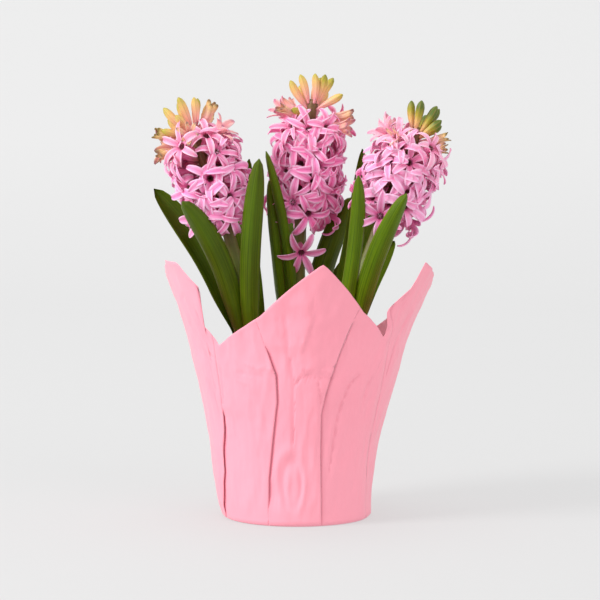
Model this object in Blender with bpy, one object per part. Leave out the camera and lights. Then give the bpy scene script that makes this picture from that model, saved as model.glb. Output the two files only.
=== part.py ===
"""Three forced hyacinths in a grower's pot inside a pleated paper wrap, at rest.

Units are metres, +Z is up, and the origin is the centre of the wrap's flat base. The front of
the object looks along -Y. Azimuths are in degrees, counter-clockwise from +X seen from above.
"""

import math

import bmesh
import bpy
from mathutils import Matrix, Vector, noise

MM = 0.001
TOUCH = 0.3 * MM  # the gap kept between two pieces that touch

# Paper wrap: a square sheet pressed round the pot, whose four corners stand up.
WRAP_BASE_RADIUS = 50.5 * MM
WRAP_WALL = 1.0 * MM
WRAP_TAPER = 0.118  # growth of radius with height
WRAP_FLARE = 4.56e-6 / MM**2  # extra growth with the cube of height
WRAP_SEGMENTS_PER_EDGE = 3
# (azimuth, rim height) round the rim, through its four valleys and four corners
WRAP_RIM = [
    (-135, 120), (-107, 142), (-80, 176), (-58, 145), (-37, 124), (-32, 140), (-26, 168), (0, 160),
    (23, 144), (48, 121), (80, 150), (115, 126), (152, 112), (180, 159), (201, 171), (213, 171),
    (219, 148),
]
# Where the wall swells or draws in: (azimuth, spread, height, reach up and down, growth of radius)
WRAP_BULGES = [
    (180, 45, 30, 38, 2.6),
    (0, 40, 45, 30, -1.6),
    (0, 60, 165, 45, 4.0),
    (80, 30, 165, 45, 9.0),
]
WRAP_WAIST = (95, 30, 2.0)  # height, reach and growth of the swelling that goes all round
WRAP_ROWS = [0.0, 0.04, 0.25, 0.45, 0.63, 0.8, 1.0]  # shares of the rim height

# Grower's pot: a thin tapered plastic pot with a lip and drain holes.
POT_FLOOR = WRAP_WALL + TOUCH
POT_BASE_RADIUS = 45.0 * MM
POT_BODY_RADIUS = 57.6 * MM  # under the lip
POT_LIP_RADIUS = 61.0 * MM
POT_LIP_HEIGHT = 88 * MM  # underside of the lip
POT_HEIGHT = 97 * MM
POT_WALL = 1.2 * MM
POT_SEGMENTS = 32
DRAIN_HOLES = 6
DRAIN_CIRCLE = 34 * MM
DRAIN_RADIUS = 4.5 * MM

# Potting soil
SOIL_TOP = 84 * MM
SOIL_LUMP = 2.2 * MM

# Bulbs: turned outline as (radius, height), resting in the soil.
BULB_OUTLINE = [
    (5, 54), (11, 55), (17, 60), (20.5, 68), (21.3, 75),
    (20.2, 83), (17.3, 90), (14.3, 96), (13, 100), (12.8, 103.7),
]
BULB_TOP = 103.7 * MM
BULB_SEGMENTS = 16

# Flower stalks
STALK_FOOT_RADIUS = 5.0 * MM
STALK_TOP_RADIUS = 3.2 * MM
STALK_SIDES = 10
STALK_STATIONS = 12

# Leaves stand round the stalk in one ring.
LEAF_FOOT_DISTANCE = 9.0 * MM  # from the stalk's axis to the leaf's inner face
LEAF_FOOT_WIDTH = 4.5 * MM  # half of it
LEAF_FOOT_DEPTH = 1.8 * MM  # of the channel
LEAF_THICKNESS = 1.9 * MM
LEAF_STATIONS = [0.0, 0.12, 0.24, 0.38, 0.52, 0.66, 0.79, 0.9, 0.965]

# Florets: a tube with six recurved tepals. These are the sizes of the lowest, which are the largest.
TEPALS = 6
FLORET_RADIUS = 17.0 * MM
FLORET_NOTCH = 7.4 * MM
FLORET_THROAT = 3.8 * MM
FLORET_RECURVE = 4.5 * MM
FLORET_TUBE = 16.5 * MM
PEDICEL_RADIUS = 1.3 * MM
GOLDEN_ANGLE = 137.508

# Buds: outline as (radius, share of the bud's length)
BUD_OUTLINE = [(0.9, 0), (1.2, 0.12), (2.2, 0.30), (2.9, 0.60), (2.3, 0.88)]
BUD_SIDES = 7

# Each plant: where its bulb stands, the stalk's two bends and its top, its open florets (count,
# first azimuth, first and last share of the stalk) and its buds, each as (share of the stalk,
# azimuth, degrees up from square to the stalk, length).
PLANTS = {
    "left": {
        "bulb": (-28, -12),
        "stalk": [(-33, -12, 150), (-47, -13, 206), (-71, -14, 263)],
        "florets": (25, 300, 0.60, 0.895),
        "buds": [
            (0.985, 185, 66, 22), (0.98, 330, 60, 21), (0.985, 40, 62, 20), (0.962, 355, 38, 20),
            (0.958, 200, 32, 20), (0.975, 100, 58, 21), (0.96, 150, 44, 20), (0.965, 250, 46, 20),
        ],
    },
    "centre": {
        "bulb": (1, 27),
        "stalk": [(0, 25, 155), (1, 20, 218), (11, 18, 280)],
        "florets": (29, 265, 0.55, 0.895),
        "buds": [
            (0.965, 182, 52, 20), (0.985, 205, 72, 20), (0.988, 285, 74, 19), (0.985, 20, 72, 20),
            (0.966, 345, 44, 20), (0.98, 95, 66, 20), (0.958, 135, 46, 19), (0.958, 52, 42, 19),
        ],
    },
    "right": {
        "bulb": (28, -12),
        "stalk": [(36, -12, 150), (56, -12, 202), (81, -12, 262)],
        "florets": (25, 250, 0.60, 0.895),
        "buds": [
            (0.98, 180, 60, 20), (0.988, 115, 74, 20), (0.988, 235, 72, 20), (0.988, 310, 72, 20),
            (0.985, 25, 72, 20), (0.968, 330, 56, 19), (0.966, 8, 50, 17), (0.965, 75, 48, 20),
        ],
    },
}

# Each leaf: azimuth of its foot, the two points that bend it, its tip, half width
LEAVES = {
    "left": {
        "far_left": (165, (-40, -9, 130), (-52, -3, 172), (-95.5, -8, 221), 8.0),
        "front_left": (228, (-39, -20, 130), (-44, -29, 178), (-75, -46, 214), 7.5),
        "front_upright": (292, (-34, -30, 132), (-32, -35, 185), (-24.6, -40, 242), 6.8),
        "rear_upright": (20, (-22, -4, 132), (-36, 11, 190), (-32, 16, 240), 4.8),
        "rear": (94, (-30, 2, 130), (-30, 24, 180), (-46, 44, 216), 7.5),
    },
    "centre": {
        "front_slender": (262, (-0.3, 16, 130), (-4, 4, 190), (-20.6, -14, 246), 2.9),
        "left": (195, (-9, 20, 130), (-15, 8, 180), (-19, -1, 226), 3.9),
        "broad_right": (330, (9, 21, 130), (16, 20, 176), (39, 24, 214), 6.8),
        "low_right": (35, (9, 33, 128), (22, 40, 156), (44, 46, 181), 3.8),
        "rear": (108, (-2, 38, 130), (-4, 52, 180), (-12, 66, 212), 7.5),
    },
    "right": {
        "tall_left": (165, (22, -4, 132), (40, 11, 192), (43.8, 12, 247), 4.6),
        "front_short": (255, (29, -28, 132), (42, -37, 185), (40.2, -37, 231), 5.2),
        "front_right": (320, (41, -21, 130), (44, -37, 170), (71.6, -52, 219.5), 7.2),
        "rear_dark": (25, (38, -6, 130), (50, 2, 155), (70, 20, 186), 5.5),
        "rear": (92, (28, 1, 130), (38, 26, 175), (56, 46, 210), 7.5),
    },
}


def mm(*point):
    """A point given in millimetres, in metres."""
    return Vector(point) * MM


def clear_scene():
    for item in list(bpy.data.objects):
        bpy.data.objects.remove(item)


def finish(name, colour, roughness):
    """A Principled material with this base colour."""
    made = bpy.data.materials.new(name)
    made.use_nodes = True
    shader = made.node_tree.nodes["Principled BSDF"]
    shader.inputs["Base Color"].default_value = (*colour, 1.0)
    shader.inputs["Roughness"].default_value = roughness
    shader.inputs["Metallic"].default_value = 0.0
    return made


def solid(name, points, faces, surface, sharp_degrees=50):
    """One closed object with its faces pointing out."""
    mesh = bpy.data.meshes.new(name)
    mesh.from_pydata([tuple(p) for p in points], [], faces)
    shape = bmesh.new()
    shape.from_mesh(mesh)
    bmesh.ops.recalc_face_normals(shape, faces=shape.faces)
    shape.to_mesh(mesh)
    shape.free()
    mesh.materials.append(surface)
    mesh.shade_smooth()
    mesh.set_sharp_from_angle(angle=math.radians(sharp_degrees))
    made = bpy.data.objects.new(name, mesh)
    bpy.context.scene.collection.objects.link(made)
    return made


def helper(item):
    """Marks an object that only cuts or joins another."""
    item.hide_render = True
    item.display_type = "WIRE"
    return item


def boolean(item, operation, other=None, collection=None):
    cut = item.modifiers.new(operation.title(), "BOOLEAN")
    cut.operation = operation
    cut.solver = "EXACT"
    if collection:
        cut.operand_type = "COLLECTION"
        cut.collection = collection
    else:
        cut.object = other


def turned(outline, segments, centre=(0.0, 0.0)):
    """Points and faces of an outline of (radius, height) turned about a vertical axis.

    A radius of zero closes an end.
    """
    points, rows = [], []
    for radius, height in outline:
        count = segments if radius > 0 else 1
        rows.append(list(range(len(points), len(points) + count)))
        for k in range(count):
            angle = 2 * math.pi * k / segments
            x = centre[0] + radius * math.cos(angle)
            y = centre[1] + radius * math.sin(angle)
            points.append(Vector((x, y, height)))
    return points, bands(rows)


def bands(rows):
    """Faces between neighbouring closed rows of point numbers, where a row of one point is a fan's tip."""
    faces = []
    for low, high in zip(rows, rows[1:]):
        count = max(len(low), len(high))
        for k in range(count):
            after = (k + 1) % count
            corners = [low[k % len(low)], low[after % len(low)], high[after % len(high)], high[k % len(high)]]
            faces.append(list(dict.fromkeys(corners)))
    return faces


def bezier(corners, share):
    """The point and the direction at a share of a cubic curve with these four corners."""
    a, b, c, d = corners
    rest = 1 - share
    point = a * rest**3 + b * 3 * rest**2 * share + c * 3 * rest * share**2 + d * share**3
    slope = (b - a) * rest**2 + (c - b) * 2 * rest * share + (d - c) * share**2
    return point, slope.normalized()


def wrap_radius(azimuth, height):
    """Radius of the wall's outer face at an azimuth in radians."""
    waist, reach, growth = WRAP_WAIST
    radius = WRAP_BASE_RADIUS + WRAP_TAPER * height + WRAP_FLARE * height**3
    radius += growth * MM * math.exp(-(((height / MM - waist) / reach) ** 2))
    for middle, spread, level, reach, growth in WRAP_BULGES:
        away = (math.degrees(azimuth) - middle + 180) % 360 - 180
        near = math.exp(-((away / spread) ** 2) - ((height / MM - level) / reach) ** 2)
        radius += growth * MM * near * min(1.0, height / (8 * MM))
    return radius


def wrap_rim():
    """(azimuth in radians, rim height) round the rim, on straight runs between its valleys and corners."""
    found = []
    for k, (start, low) in enumerate(WRAP_RIM):
        end, high = WRAP_RIM[(k + 1) % len(WRAP_RIM)]
        span = (end - start) % 360
        for step in range(WRAP_SEGMENTS_PER_EDGE):
            share = step / WRAP_SEGMENTS_PER_EDGE
            found.append((math.radians(start + span * share), (low + (high - low) * share) * MM))
    return found


def wrap_point(azimuth, height, inset):
    radius = wrap_radius(azimuth, height) - inset
    return Vector((radius * math.cos(azimuth), radius * math.sin(azimuth), height))


def make_wrap(surface):
    """A thin cup: outer wall up to the uneven rim, then the inner wall back down."""
    rim = wrap_rim()
    points, rows = [Vector((0, 0, 0))], [[0]]

    def add_row(row):
        rows.append(list(range(len(points), len(points) + len(row))))
        points.extend(row)

    for share in WRAP_ROWS:
        add_row([wrap_point(a, share * top, 0) for a, top in rim])
    for share in reversed(WRAP_ROWS):
        add_row([wrap_point(a, max(share * top, WRAP_WALL), WRAP_WALL) for a, top in rim])
    points.append(Vector((0, 0, WRAP_WALL)))
    rows.append([len(points) - 1])
    solid("pot_wrap", points, bands(rows), surface)


def make_pot(surface):
    """A tapered pot with a lip, whose floor has drain holes."""
    floor, lip, top, wall = POT_FLOOR, POT_LIP_HEIGHT, POT_HEIGHT, POT_WALL
    outline = [
        (0, floor),
        (POT_BASE_RADIUS, floor),
        (POT_BODY_RADIUS, lip),
        (POT_LIP_RADIUS, lip),
        (POT_LIP_RADIUS, top),
        (POT_BODY_RADIUS - wall, top),
        (POT_BASE_RADIUS - wall, floor + wall),
        (0, floor + wall),
    ]
    pot = solid("grower_pot", *turned(outline, POT_SEGMENTS), surface)
    for k in range(DRAIN_HOLES):
        angle = 2 * math.pi * (k + 0.28) / DRAIN_HOLES
        centre = (DRAIN_CIRCLE * math.cos(angle), DRAIN_CIRCLE * math.sin(angle))
        hole = [(0, 0), (DRAIN_RADIUS, 0), (DRAIN_RADIUS, floor + 3 * wall), (0, floor + 3 * wall)]
        cutter = helper(solid(f"drain_cutter_{k}", *turned(hole, 10, centre), surface))
        boolean(pot, "DIFFERENCE", cutter)


def pot_inner_radius(height):
    share = (height - POT_FLOOR - POT_WALL) / (POT_HEIGHT - POT_FLOOR - POT_WALL)
    low = POT_BASE_RADIUS - POT_WALL
    return low + (POT_BODY_RADIUS - POT_WALL - low) * share


def bulb_outline(grow=0.0):
    """The bulb's outline closed on its axis, grown by a gap all round."""
    middle = [(r * MM + grow, z * MM) for r, z in BULB_OUTLINE]
    foot, top = middle[0][1] - grow, middle[-1][1] + grow
    return [(0, foot), (middle[0][0], foot), *middle[1:-1], (middle[-1][0], top), (0, top)]


def make_soil(surface):
    """A plug of soil with an uneven top and a socket for each bulb."""
    foot = POT_FLOOR + POT_WALL + TOUCH
    outline = [(0, foot), (pot_inner_radius(foot) - 2 * TOUCH, foot)]
    outline += [(pot_inner_radius(SOIL_TOP) - 2 * TOUCH, SOIL_TOP - SOIL_LUMP)]
    outline += [(share * pot_inner_radius(SOIL_TOP), SOIL_TOP) for share in (0.8, 0.55, 0.25)]
    points, faces = turned([*outline, (0, SOIL_TOP)], POT_SEGMENTS)
    for point in points:
        if point.z == SOIL_TOP:
            point.z += SOIL_LUMP * noise.noise(point / (9 * MM))
    soil = solid("potting_soil", points, faces, surface)
    for name, plant in PLANTS.items():
        x, y = plant["bulb"]
        socket = turned(bulb_outline(2 * TOUCH), BULB_SEGMENTS, (x * MM, y * MM))
        cutter = solid(f"socket_{name}", *socket, surface)
        boolean(soil, "DIFFERENCE", helper(cutter))


def make_bulb(name, plant, surface):
    x, y = plant["bulb"]
    solid(f"bulb_{name}", *turned(bulb_outline(), BULB_SEGMENTS, (x * MM, y * MM)), surface)


def stalk_corners(plant):
    x, y = plant["bulb"]
    return [Vector((x * MM, y * MM, BULB_TOP + TOUCH)), *[mm(*p) for p in plant["stalk"]]]


def stalk_radius(share):
    return STALK_FOOT_RADIUS + (STALK_TOP_RADIUS - STALK_FOOT_RADIUS) * share


def axes_across(direction, toward):
    """Two unit vectors across a direction: the first as near as may be to another vector."""
    first = (toward - direction * toward.dot(direction)).normalized()
    return first, direction.cross(first)


def make_stalk(name, plant, surface):
    corners = stalk_corners(plant)
    points, rows = [corners[0].copy()], [[0]]
    for station in range(STALK_STATIONS):
        share = station / (STALK_STATIONS - 1)
        centre, along = bezier(corners, share)
        if station == 0:
            along = Vector((0, 0, 1))
        across, other = axes_across(along, Vector((1, 0, 0)))
        rows.append(list(range(len(points), len(points) + STALK_SIDES)))
        for k in range(STALK_SIDES):
            angle = 2 * math.pi * k / STALK_SIDES
            points.append(centre + (across * math.cos(angle) + other * math.sin(angle)) * stalk_radius(share))
    points.append(corners[3].copy())
    rows.append([len(points) - 1])
    solid(f"flower_stalk_{name}", points, bands(rows), surface)


def leaf_half_width(share, widest):
    """A strap that widens above its foot and ends in a blunt tip."""
    rise = min(1.0, share / 0.45)
    width = LEAF_FOOT_WIDTH + (widest - LEAF_FOOT_WIDTH) * rise * rise * (3 - 2 * rise)
    fall = max(0.0, (share - 0.62) / 0.38)
    return width * math.sqrt(max(0.0, 1 - fall**2.4))


def make_leaf(name, plant, row, surface):
    """A channelled strap: its inner face has five points across and its outer face three more."""
    azimuth, shoulder, bend, tip, widest = row
    x, y = plant["bulb"]
    out = Vector((math.cos(math.radians(azimuth)), math.sin(math.radians(azimuth)), 0))
    foot = Vector((x * MM, y * MM, BULB_TOP + TOUCH)) + out * LEAF_FOOT_DISTANCE
    corners = [foot, mm(*shoulder), mm(*bend), mm(*tip)]
    points, rows = [], []
    for share in LEAF_STATIONS:
        centre, along = bezier(corners, share)
        if share == 0:
            along = Vector((0, 0, 1))
        inward, across = axes_across(along, -out)
        width = leaf_half_width(share, widest * MM)
        depth = LEAF_FOOT_DEPTH + (0.38 * width - LEAF_FOOT_DEPTH) * min(1.0, share / 0.4)
        thick = LEAF_THICKNESS * (1 - 0.5 * share)
        rows.append(list(range(len(points), len(points) + 8)))
        for place in (-1, -0.5, 0, 0.5, 1):
            points.append(centre + across * width * place + inward * depth * place**2)
        for place in (0.5, 0, -0.5):
            skin = depth * place**2 - thick * (1 - 0.45 * abs(place))
            points.append(centre + across * width * place + inward * skin)
    points.append(corners[3])
    rows.append([len(points) - 1])
    foot_cap = [[0, 1, 7], [1, 2, 6, 7], [2, 3, 5, 6], [3, 4, 5]]
    solid(name, points, bands(rows) + foot_cap, surface)


def place_on_stalk(plant, share, azimuth, rise, foot_radius):
    """Where something grows from the stalk: a frame with its Z axis out along the growth."""
    centre, along = bezier(stalk_corners(plant), share)
    across, other = axes_across(along, Vector((1, 0, 0)))
    side = across * math.cos(math.radians(azimuth)) + other * math.sin(math.radians(azimuth))
    out = side * math.cos(math.radians(rise)) + along * math.sin(math.radians(rise))
    start = stalk_radius(share) + TOUCH + foot_radius * abs(math.sin(math.radians(rise)))
    upward = (along - out * along.dot(out)).normalized()
    turn = Matrix((upward.cross(out), upward, out)).transposed()
    return Matrix.Translation(centre + side * start) @ turn.to_4x4()


def floret_shape(size, tube):
    """Points and faces of an open floret whose pedicel starts at the origin and whose face looks along +Z."""
    points, faces = [], []
    step = math.pi / TEPALS
    throat_back = tube - 3 * MM * size
    for radius, height in ((PEDICEL_RADIUS, 0), (FLORET_THROAT * size, throat_back)):
        for k in range(TEPALS):
            angle = 2 * step * k
            points.append(Vector((radius * math.cos(angle), radius * math.sin(angle), height)))
    for k in range(2 * TEPALS):
        is_tip = k % 2 == 0
        radius = (FLORET_RADIUS if is_tip else FLORET_NOTCH) * size
        drop = FLORET_RECURVE if is_tip else 0.8 * MM
        points.append(Vector((radius * math.cos(step * k), radius * math.sin(step * k), tube - drop * size)))
    points.append(Vector((0, 0, tube - 1.5 * MM * size)))
    foot, throat, edge, middle = 0, TEPALS, 2 * TEPALS, 4 * TEPALS
    faces.append(list(range(TEPALS)))
    for k in range(TEPALS):
        after = (k + 1) % TEPALS
        tip, notch, next_tip = edge + 2 * k, edge + 2 * k + 1, edge + 2 * after
        faces.append([foot + k, foot + after, throat + after, throat + k])
        faces.append([throat + k, notch, tip])
        faces.append([throat + k, throat + after, notch])
        faces.append([throat + after, next_tip, notch])
        faces.append([tip, notch, middle])
        faces.append([notch, next_tip, middle])
    return points, faces


def floret_rise(level):
    """How far a floret points up, in degrees: the low ones nod and the high ones reach up."""
    return -12 + 50 * level**1.6


def make_florets(name, plant, surface):
    """The open florets of one stalk, joined where their tepals overlap."""
    count, first, low, high = plant["florets"]
    others = bpy.data.collections.new(f"floret_helpers_{name}")
    bpy.context.scene.collection.children.link(others)
    for k in range(count):
        level = k / (count - 1)
        share = low + (high - low) * level
        frame = place_on_stalk(plant, share, first + k * GOLDEN_ANGLE, floret_rise(level), PEDICEL_RADIUS)
        size = 1.0 - 0.18 * level**2
        shape = floret_shape(size, FLORET_TUBE * size)
        item = solid(f"florets_{name}" if k == 0 else f"floret_{name}_{k}", *shape, surface, 30)
        item.data.transform(frame)
        if k:
            bpy.context.scene.collection.objects.unlink(item)
            others.objects.link(helper(item))
        else:
            whole = item
    boolean(whole, "UNION", collection=others)


def make_buds(name, plant, surface):
    """The closed buds at the top of one stalk, each its own piece."""
    for number, (share, azimuth, rise, length) in enumerate(plant["buds"], 1):
        frame = place_on_stalk(plant, share, azimuth, rise, PEDICEL_RADIUS)
        outline = [(0, 0), *[(r * MM, part * length * MM) for r, part in BUD_OUTLINE], (0, length * MM)]
        points, faces = turned(outline, BUD_SIDES)
        bud = solid(f"bud_{name}_{number}", points, faces, surface)
        bud.data.transform(frame)


def main():
    clear_scene()
    make_wrap(finish("wrap_paper", (0.96, 0.42, 0.50), 0.6))
    make_pot(finish("pot_plastic", (0.25, 0.07, 0.03), 0.55))
    make_soil(finish("soil", (0.04, 0.025, 0.015), 0.95))
    skin = finish("bulb_skin", (0.28, 0.10, 0.14), 0.5)
    stalk = finish("stalk_green", (0.20, 0.16, 0.03), 0.45)
    leaf = finish("leaf_green", (0.08, 0.20, 0.01), 0.4)
    petal = finish("petal_pink", (0.84, 0.24, 0.45), 0.5)
    bud = finish("bud_blush", (0.75, 0.45, 0.16), 0.45)
    for name, plant in PLANTS.items():
        make_bulb(name, plant, skin)
        make_stalk(name, plant, stalk)
        for place, row in LEAVES[name].items():
            make_leaf(f"leaf_{name}_{place}", plant, row, leaf)
        make_florets(name, plant, petal)
        make_buds(name, plant, bud)


main()
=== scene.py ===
"""The looks of three potted hyacinths in a pleated paper wrap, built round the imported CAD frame.

Units are metres, +Z is up and the front looks along -Y. Lengths in the tables are millimetres and
angles are degrees. An azimuth runs counter-clockwise from +X seen from above.
"""

import math
import random

import bpy
import numpy as np
from mathutils import Matrix, Vector, noise


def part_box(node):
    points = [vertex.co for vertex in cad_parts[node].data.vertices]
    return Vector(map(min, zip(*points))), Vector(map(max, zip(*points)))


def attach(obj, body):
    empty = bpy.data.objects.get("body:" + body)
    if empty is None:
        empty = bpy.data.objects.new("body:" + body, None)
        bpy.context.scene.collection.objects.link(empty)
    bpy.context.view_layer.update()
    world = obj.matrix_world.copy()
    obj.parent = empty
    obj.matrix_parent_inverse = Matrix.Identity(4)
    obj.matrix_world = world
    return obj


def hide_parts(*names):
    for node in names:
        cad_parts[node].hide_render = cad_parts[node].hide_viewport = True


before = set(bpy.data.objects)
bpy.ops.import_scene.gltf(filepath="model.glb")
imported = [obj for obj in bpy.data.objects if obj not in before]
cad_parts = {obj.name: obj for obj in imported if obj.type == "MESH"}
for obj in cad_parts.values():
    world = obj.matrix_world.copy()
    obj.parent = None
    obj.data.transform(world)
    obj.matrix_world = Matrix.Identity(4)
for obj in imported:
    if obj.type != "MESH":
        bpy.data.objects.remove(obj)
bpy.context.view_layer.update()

MM = 0.001

# Camera, light and studio, in metres and watts
CAMERA_PLACE = (0.002, -1.8, 0.3)
CAMERA_AIM = (0.002, 0.0, 0.1459)
CAMERA_LENS = 161.3
SENSOR = 36.0
# Each soft light as (name, place, aim, size, power)
LIGHTS = [
    ("key", (-2.1, -1.1, 1.45), (0, 0, 0.12), 1.1, 55),
    ("fill", (1.6, -1.9, 1.0), (0, 0, 0.14), 1.6, 11),
    ("top", (0.0, 0.3, 2.2), (0, 0, 0.1), 1.6, 9),
]
WORLD_STRENGTH = 0.85
STUDIO_GLOW = 0.515
STUDIO_SIDES = (-20.0, -3.0, 0.0, 3.0, 20.0)
SWEEP_START = 1.6
SWEEP_RADIUS = 1.2
STUDIO_HEIGHT = 9.0

# Wrap
PAPER_THICKNESS = 0.22
PAPER_INSET = 0.3
FLOOR_HEIGHT = 0.25
BASE_RADIUS = 50.5
BASE_ROUND = 1.8
TAPER = 0.118
FLARE = 4.56e-6
WALL_ROWS = 84
PANEL_COLUMNS = 40
FOLD_COLUMNS = 12
LAYER_GAP = 0.45
FOLD_DEPTH_PER_HEIGHT = 0.3
WIDEST_FOLD = 0.72  # as a share of the panel before it
WALL_CLIMB = 0.985  # height gained for each mm of paper up the wall
# Rim outline as (degrees round from the front, height), from valley to corner and back
RIM = [
    (-117, 112), (-90, 160), (-70, 175), (-57, 175), (-51.5, 158), (-51, 144), (-50.5, 137), (-49.5, 130),
    (-44, 120.5), (-17, 142), (10, 176.5), (31.5, 144), (40, 135.5), (49, 125), (50.5, 134), (52, 143),
    (54, 151), (56.5, 158), (59, 175), (90, 156), (113, 142), (138, 119), (170, 148), (200, 124), (225, 110),
    (243, 112),
]
# Where the front edges of the side corners swing out and in: (degrees, spread, height, reach, shift)
RIM_SWINGS = [(-49, 9, 157, 9, 5.5), (-51, 9, 137, 5, -3.5), (53, 8, 144, 9, -6.0)]
# Where the wall swells or draws in: (degrees, spread, height, reach, growth)
BULGES = [
    (-90, 45, 30, 38, 2.6),
    (90, 40, 45, 30, -1.6),
    (90, 60, 165, 45, 4.0),
    (170, 30, 165, 45, 9.0),
    (-85, 40, 175, 16, -3.2),
]
WAIST = (95, 30, 2.0)  # height, reach, growth all round
# Each pleat's edge as (height, degrees round from the front) and the heights between which it shows
PLEATS = [
    ([(0, -71), (33, -59), (77, -51), (170, -44)], (2, 77)),
    ([(0, -22), (33, -19.7), (58, -15.8), (84, -11.7), (102, -11.5), (121, -16), (170, -26)], (14, 122)),
    ([(0, 18.6), (39, 16.7), (76, 14.8), (92, 17), (103, 19.6), (138, 27.6), (170, 34)], (0, 138)),
    ([(0, 66), (39, 60.7), (81, 58.5), (122, 54.6), (170, 52)], (0, 60)),
    ([(0, 108), (60, 103), (110, 100), (170, 99)], (0, 104)),
    ([(0, 151), (60, 155), (110, 150), (170, 148)], (6, 120)),
    ([(0, 197), (60, 199), (110, 205), (170, 208)], (0, 112)),
    ([(0, 243), (60, 239), (110, 242), (170, 246)], (4, 98)),
]

# Plants, as the CAD has them: where the bulb stands, and the points that bend and end the stalk
BULB_TOP = 103.7
TOUCH = 0.3
PLANTS = {
    "left": {"bulb": (-28, -12), "stalk": [(-33, -12, 150), (-47, -13, 206), (-71, -14, 263)]},
    "centre": {"bulb": (1, 27), "stalk": [(0, 25, 155), (1, 20, 218), (11, 18, 280)]},
    "right": {"bulb": (28, -12), "stalk": [(36, -12, 150), (56, -12, 202), (81, -12, 262)]},
}
STALK_FOOT_RADIUS = 5.0
STALK_TOP_RADIUS = 3.2

# Leaves, on the CAD's lines: azimuth of the foot, the two points that bend it, its tip, half width
LEAVES = {
    "left": {
        "far_left": (165, (-40, -9, 130), (-52, -3, 172), (-95.5, -8, 221), 8.3),
        "front_left": (228, (-39, -20, 130), (-44, -29, 178), (-75, -46, 214), 7.8),
        "front_upright": (292, (-34, -30, 132), (-32, -35, 185), (-24.6, -40, 242), 6.8),
        "rear_upright": (20, (-22, -4, 132), (-36, 11, 190), (-32, 16, 240), 4.8),
        "rear": (94, (-30, 2, 130), (-30, 24, 180), (-46, 44, 216), 7.5),
    },
    "centre": {
        "front_slender": (262, (-0.3, 16, 130), (-4, 4, 190), (-20.6, -14, 246), 3.4),
        "left": (195, (-9, 20, 130), (-15, 8, 180), (-19, -1, 226), 3.9),
        "broad_right": (330, (9, 21, 130), (16, 20, 176), (39, 24, 214), 8.0),
        "low_right": (35, (9, 33, 128), (22, 40, 156), (44, 46, 181), 3.8),
        "rear": (108, (-2, 38, 130), (-4, 52, 180), (-12, 66, 212), 7.5),
    },
    "right": {
        "tall_left": (165, (22, -4, 132), (40, 11, 192), (43.8, 12, 247), 4.6),
        "front_short": (255, (29, -28, 132), (42, -37, 185), (40.2, -37, 231), 5.2),
        "front_right": (320, (41, -21, 130), (44, -37, 170), (71.6, -52, 219.5), 6.6),
        "rear_dark": (25, (38, -6, 130), (50, 2, 155), (66, 20, 184), 4.4),
        "rear": (92, (28, 1, 130), (38, 26, 175), (56, 46, 210), 7.5),
    },
}
LEAF_FOOT_DISTANCE = 9.0
LEAF_FOOT_WIDTH = 4.5
LEAF_FOOT_DEPTH = 1.8
LEAF_THICKNESS = 1.9
LEAF_STATIONS = 44
LEAF_COLUMNS = 13
# How far the upper half of a blade turns from facing its stalk to lying across the view from the front
LEAF_TURN = 0.8
LEAF_CHANNEL = 0.55  # depth as a share of the half width
# How much painted shade darkens some leaves, from 0 to 1
LEAF_PAINTED_SHADE = {"far_left": 0.42, "front_left": 0.38, "front_upright": 0.28, "broad_right": 0.2}

# Florets seen from the front, as (share of the stalk, azimuth round it)
FRONT_FLORETS = {
    "left": [
        (0.855, 306), (0.865, 338), (0.83, 2), (0.79, 272), (0.735, 254), (0.73, 298), (0.8, 222),
        (0.665, 290), (0.84, 190), (0.875, 205),
    ],
    "centre": [
        (0.87, 270), (0.81, 240), (0.76, 295), (0.7, 260), (0.62, 285), (0.475, 275), (0.87, 225),
        (0.86, 310),
    ],
    "right": [
        (0.9, 222), (0.85, 278), (0.8, 250), (0.665, 262), (0.73, 225), (0.84, 318), (0.82, 355),
        (0.78, 300),
    ],
}
# Half-open florets round the crown: (share of the stalk, azimuth, degrees up, size, spread, curl, youth)
YOUNG_FLORETS = {
    "left": [
        (0.945, 190, 34, 0.8, -8, 16, 1.0), (0.92, 198, 10, 0.82, -7, 20, 0.9),
        (0.93, 172, 20, 0.92, 8, 70, 0.75), (0.945, 264, 22, 0.55, 10, 76, 0.8),
        (0.925, 342, 14, 0.86, 8, 76, 0.5), (0.935, 60, 30, 0.84, -6, 22, 0.9),
        (0.93, 120, 24, 0.84, -4, 30, 0.8), (0.955, 352, 44, 0.72, -8, 18, 0.95),
    ],
    "centre": [
        (0.905, 190, 26, 0.86, 2, 48, 0.45), (0.925, 352, 18, 0.9, -8, 18, 0.8),
        (0.905, 338, 8, 0.94, -4, 34, 0.6), (0.93, 80, 26, 0.84, -6, 24, 0.7),
        (0.92, 135, 22, 0.84, -2, 36, 0.6), (0.925, 212, 16, 0.72, -8, 16, 0.8),
    ],
    "right": [
        (0.94, 352, 38, 0.54, -9, 10, 0.95), (0.92, 342, 24, 0.56, -8, 14, 0.9),
        (0.925, 190, 14, 0.86, 6, 70, 0.3), (0.935, 226, 2, 0.5, 4, 50, 0.75),
        (0.93, 90, 28, 0.8, -6, 22, 0.8), (0.92, 140, 22, 0.82, 2, 50, 0.4),
        (0.925, 40, 26, 0.74, -6, 22, 0.8),
    ],
}
FLORET_SPAN = {"left": (0.675, 0.915), "centre": (0.6, 0.92), "right": (0.695, 0.915)}
# How much farther the florets reach on the +X side than on average
BLOOM_LEAN = {"left": 0.03, "centre": 0.14, "right": 0.05}
# Where the stalk shows between the florets: (lowest and highest share, lowest and highest azimuth)
BARE = {"left": (0.825, 0.94, 242, 290), "centre": (0.885, 0.95, 225, 315), "right": (0.875, 0.95, 235, 310)}
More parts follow.
